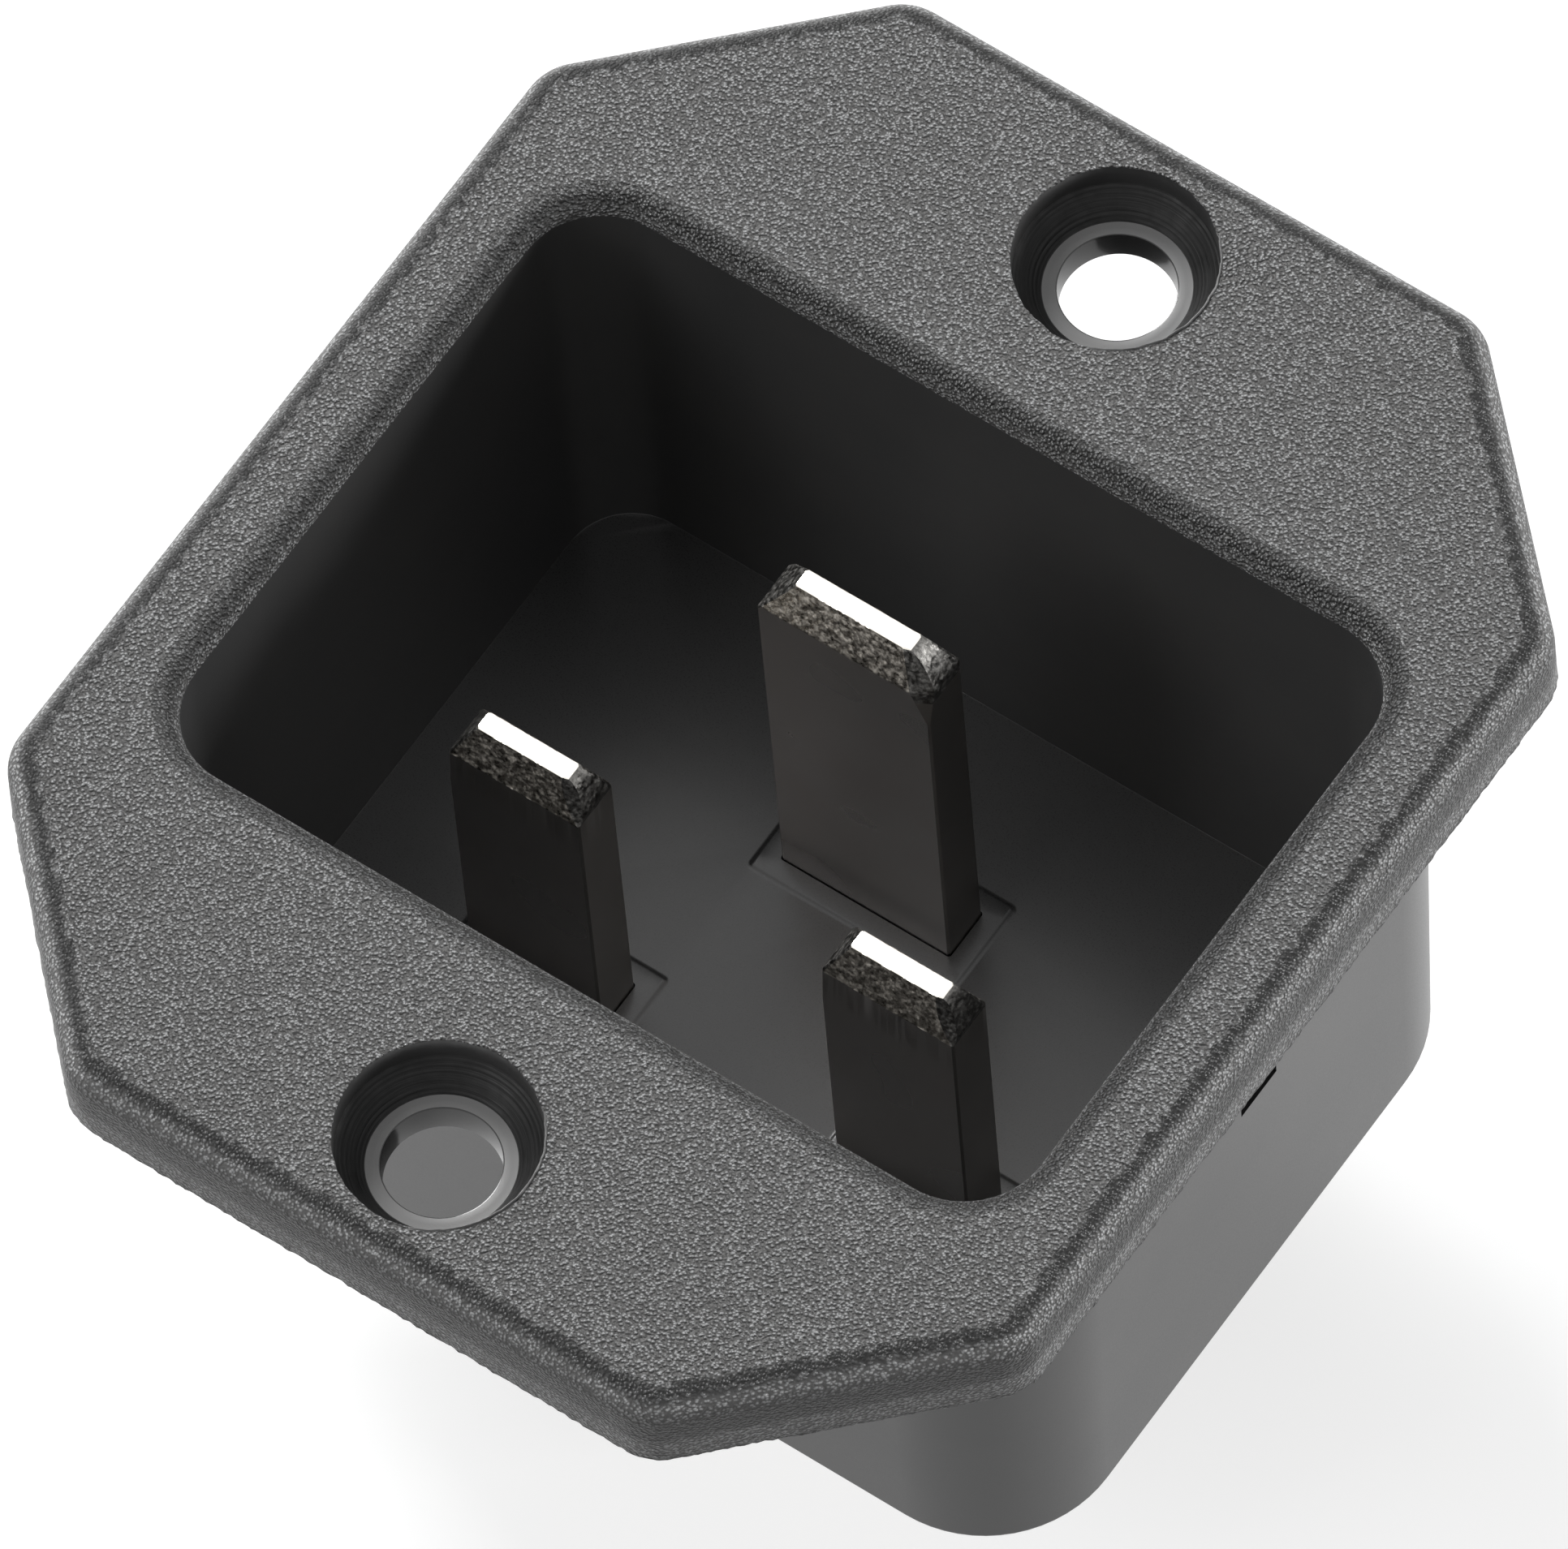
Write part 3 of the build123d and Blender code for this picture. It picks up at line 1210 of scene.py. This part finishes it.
    def add_tab(self, skin: Skin) -> None:
        """The push-on tab with its chamfered end and its hole.

        Args:
            skin: the blade's skin.
        """
        low = self.back_z - self.collar_thickness
        half, cut, length = self.tab_width / 2, self.tab_end_chamfer, self.tab_length
        ring = Outline(((-half + cut, -length), (half - cut, -length), (half, -length + cut),
                        (half, 0.0), (-half, 0.0), (-half, -length + cut)), 0.2, arc_steps=3, edge_step=1.0)
        middle = (0.0, self.tab_hole_from_end - length)
        flat = Skin(skin.place @ Matrix.Translation((0, 0, low)) @ Matrix.Rotation(math.pi / 2, 4, "X"))
        thick, small, flat_edge = self.tab_thickness / 2, 0.08, 0.16
        upper = [(0.0, thick - small), (small * 0.3, thick - small * 0.3), (small, thick), (flat_edge, thick)]
        profile = [(i, -z) for i, z in reversed(upper)] + upper
        flat.sweep(ring, profile, BladeFace.STRIP)
        flat.turn(middle, [(self.tab_hole_radius + i, z) for i, z in profile], 48, BladeFace.STRIP)
        for z in (-thick, thick):
            flat.plate(ring.points(flat_edge), [circle(middle, self.tab_hole_radius + flat_edge, 48)], z,
                       BladeFace.STRIP)
        spare = bpy.data.meshes.new("tab")
        flat.mesh.to_mesh(spare)
        flat.mesh.free()
        skin.mesh.from_mesh(spare)
        bpy.data.meshes.remove(spare)

    def build(self, materials: Sequence[bpy.types.Material]) -> bpy.types.Object:
        """Builds the blade.

        Args:
            materials: its finishes in the order of BladeFace.

        Returns:
            The object, which replaces the CAD node.
        """
        skin = Skin(Matrix.Translation((self.x, self.y, 0)))
        self.add_bar(skin)
        self.add_collar(skin)
        self.add_tab(skin)
        piece = skin.finished(self.node + "_plated", materials)
        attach(piece, "root")
        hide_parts(self.node)
        return piece


class LampPlace(Enum):
    """Where a soft lamp hangs: azimuth and elevation in degrees, seen from the inlet."""

    KEY = (298.0, 32.0)
    RIGHT = (55.0, 5.0)
    FRONT_LEFT = (215.0, 35.0)
    OVERHEAD = (320.0, 64.0)


@dataclass(frozen=True)
class SoftLamp:
    """A square soft box that faces the inlet."""

    place: LampPlace
    size: float
    distance: float
    power: float

    def build(self) -> bpy.types.Object:
        """Hangs the lamp.

        Returns:
            The lamp.
        """
        azimuth, elevation = (math.radians(a) for a in self.place.value)
        towards = Vector((math.sin(azimuth) * math.cos(elevation), math.cos(azimuth) * math.cos(elevation),
                          math.sin(elevation)))
        data = bpy.data.lights.new("lamp_" + self.place.name.lower(), "AREA")
        data.shape = "SQUARE"
        data.size = self.size
        data.energy = self.power
        lamp = linked(data.name, data)
        lamp.location = towards * self.distance
        lamp.rotation_euler = towards.to_track_quat("Z", "Y").to_euler()
        return lamp


@dataclass
class Studio:
    """Floor, lamps, surroundings and camera."""

    floor_z: float
    floor_size: float = 6000.0
    surroundings: float = 0.25
    azimuth: float = 39.534
    elevation: float = 61.284
    roll: float = -5.630
    focal_pixels: float = 30151.8
    distance: float = 822.8
    shift_right: float = -0.0154
    shift_up: float = -1.1466
    lamps: tuple[SoftLamp, ...] = (
        SoftLamp(LampPlace.KEY, size=0.18, distance=0.45, power=2.1),
        SoftLamp(LampPlace.RIGHT, size=0.10, distance=0.4, power=1.55),
        SoftLamp(LampPlace.FRONT_LEFT, size=0.20, distance=0.35, power=0.40),
        SoftLamp(LampPlace.OVERHEAD, size=0.50, distance=0.5, power=0.38),
    )

    def build_floor(self) -> bpy.types.Object:
        """Lays the pale table top under the tabs.

        Returns:
            The table top.
        """
        skin = Skin()
        half = self.floor_size / 2
        corners = ((-half, -half), (half, -half), (half, half), (-half, half))
        skin.face([Vector((x, y, self.floor_z)) for x, y in corners], 0)
        floor = skin.finished("table_top", [PaleFloor().material()])
        return floor

    def build_surroundings(self) -> None:
        """White to the camera and in gloss, and a plain dim grey as light."""
        world = bpy.data.worlds.new("studio")
        world.use_nodes = True
        bpy.context.scene.world = world
        tree = world.node_tree
        background = tree.nodes["Background"]
        level = tree.nodes.new("ShaderNodeMapRange")
        level.inputs["To Min"].default_value = self.surroundings
        level.inputs["To Max"].default_value = 1.0
        tree.links.new(seen_rays(tree), level.inputs["Value"])
        tree.links.new(level.outputs["Result"], background.inputs["Strength"])
        background.inputs["Color"].default_value = (1.0, 1.0, 1.0, 1.0)

    def build_camera(self) -> bpy.types.Object:
        """Sets the camera at the photograph's own place.

        Returns:
            The camera.
        """
        a, e, r = (math.radians(v) for v in (self.azimuth, self.elevation, self.roll))
        back = Vector((math.sin(a) * math.cos(e), -math.cos(a) * math.cos(e), math.sin(e)))
        level = Vector((math.cos(a), math.sin(a), 0.0))
        rise = back.cross(level)
        right = math.cos(r) * level + math.sin(r) * rise
        up = -math.sin(r) * level + math.cos(r) * rise
        place = (self.distance * back + self.shift_right * right + self.shift_up * up) * MM
        data = bpy.data.cameras.new("camera")
        data.sensor_fit = "HORIZONTAL"
        data.sensor_width = SENSOR_WIDTH
        data.lens = self.focal_pixels * SENSOR_WIDTH / IMAGE_WIDTH
        data.clip_start = 0.01
        camera = linked("camera", data)
        camera.matrix_world = Matrix((
            (right.x, up.x, back.x, place.x), (right.y, up.y, back.y, place.y),
            (right.z, up.z, back.z, place.z), (0, 0, 0, 1)))
        bpy.context.scene.camera = camera
        return camera

    def build(self) -> None:
        """Sets up the whole studio."""
        bpy.context.scene.view_settings.view_transform = "Standard"
        self.build_camera()
        self.build_floor()
        self.build_surroundings()
        for lamp in self.lamps:
            lamp.build()


def mould_materials() -> list[bpy.types.Material]:
    """Sets up the moulding's finishes.

    Returns:
        The materials in the order of MouldFace.
    """
    # Painted light and shade on the grained sides by height: painted shade at the back edge against the body
    # and along the wall's top, a painted highlight band on the rounding and a painted dark band near its top
    painted_side_shade = ((0.0, 0.05), (0.15, 0.15), (0.4, 0.78), (1.1, 0.78), (1.5, 0.25), (2.3, 0.22), (2.5, 0.5),
               (2.8, 1.0), (3.05, 1.5), (3.18, 0.8), (3.27, 0.35), (3.33, 0.1), (3.37, 0.1), (3.395, 0.6),
               (3.4, 0.9))
    # Painted light and shade on the recess rim's rounding by height: a painted highlight low on it and
    # painted shade higher up
    rounding = ((2.5, 2.2), (2.75, 2.2), (2.95, 1.7), (3.12, 1.0), (3.22, 0.6), (3.32, 0.75), (3.38, 1.0),
                (3.4, 1.0))
    front = GrainedMoulding("grained_front", grain_size=0.130, grain_depth=0.42, dark=0.098, light=0.44,
                            roughness=0.42, refraction=1.38)
    rim = GrainedMoulding("grained_rim", grain_size=0.125, grain_depth=0.28, dark=0.042, light=0.21,
                          roughness=0.42, refraction=1.40, stops=rounding)
    side = GrainedMoulding("grained_side", grain_size=0.125, grain_depth=0.12, dark=0.066, light=0.27,
                           roughness=0.42, refraction=1.40, stops=painted_side_shade)
    wall = SatinMoulding("recess_wall", tone=0.046, roughness=0.34, mark_depth=0.0006)
    floor = SatinMoulding("recess_floor", tone=0.036, roughness=0.29, mark_depth=0.0008, refraction=1.58,
                          mark_turn=35.0, mark_stretch=(5.0, 1.0, 1.0))
    body = SatinMoulding("body_side", tone=0.039, roughness=0.32, mark_depth=0.0005, refraction=1.42)
    low, high = (TurnedMoulding(name, tone=0.006, roughness=0.50, ring_pitch=0.12, centre=(0.0, y))
                 for name, y in (("turned_hole_low", -20.0), ("turned_hole_high", 20.0)))
    bore = SatinMoulding("drilled_bore", tone=0.02, roughness=0.16, mark_depth=0.0006)
    seat = SatinMoulding("pressed_seat", tone=0.19, roughness=0.46, mark_depth=0.004)
    lip = SatinMoulding("burred_lip", tone=0.07, roughness=0.50, mark_depth=0.0020)
    return [f.material() for f in (front, rim, side, wall, floor, body, high, low, bore, seat, lip)]


def blade_materials() -> list[bpy.types.Material]:
    """Sets up the blades' finishes.

    Returns:
        The materials in the order of BladeFace.
    """
    strip = DrawnPlating("drawn_plating", clean=(0.80, 0.77, 0.75, 1.0), stained=(0.76, 0.71, 0.68, 1.0),
                         roughness=0.26)
    chamfer = CoinedPlating("coined_plating", bright=(0.68, 0.64, 0.58, 1.0), dark=(0.33, 0.30, 0.26, 1.0),
                            roughness=0.38)
    tip = DrawnPlating("tip_plating", clean=(0.90, 0.88, 0.82, 1.0), stained=(0.86, 0.82, 0.74, 1.0),
                       roughness=0.16)
    # The coined end's mottle is the punch's mark; its darker colours are painted shade on the blades' narrow
    # ends
    end = CoinedPlating("coined_end", bright=(0.22, 0.215, 0.205, 1.0), dark=(0.10, 0.097, 0.092, 1.0),
                        roughness=0.40)
    # A darker copy of the drawn plating: painted shade on the blades' narrow sides
    side = DrawnPlating("sheared_side", clean=(0.40, 0.38, 0.36, 1.0), stained=(0.36, 0.34, 0.32, 1.0),
                        roughness=0.30)
    return [f.material() for f in (strip, chamfer, tip, end, side)]


def main() -> None:
    """Builds the inlet and its studio, and reports each piece."""
    logging.basicConfig(level=logging.INFO, format="%(name)s: %(message)s")
    blades = [
        Blade("line_blade", x=-7.65, y=-4.35, width=5.5, tip_width=3.6, tip_z=-1.3, cut_height=1.6,
              cut_bend=1.8, seed=11.0),
        Blade("neutral_blade", x=7.65, y=-4.35, width=5.5, tip_width=3.6, tip_z=-1.3, cut_height=1.6,
              cut_bend=1.8, seed=23.0),
        Blade("earth_blade", x=0.0, y=4.45, width=7.0, tip_width=4.5, tip_z=2.4, cut_height=3.2,
              cut_bend=1.05, seed=37.0),
    ]
    plating = blade_materials()
    pieces = [Housing(blades).build(mould_materials())]
    pieces += [blade.build(plating) for blade in blades]
    for piece in pieces:
        log.info("%s has %d faces", piece.name, len(piece.data.polygons))
    Studio(floor_z=cad_box[0].z / MM).build()


if __name__ == "__main__":
    main()
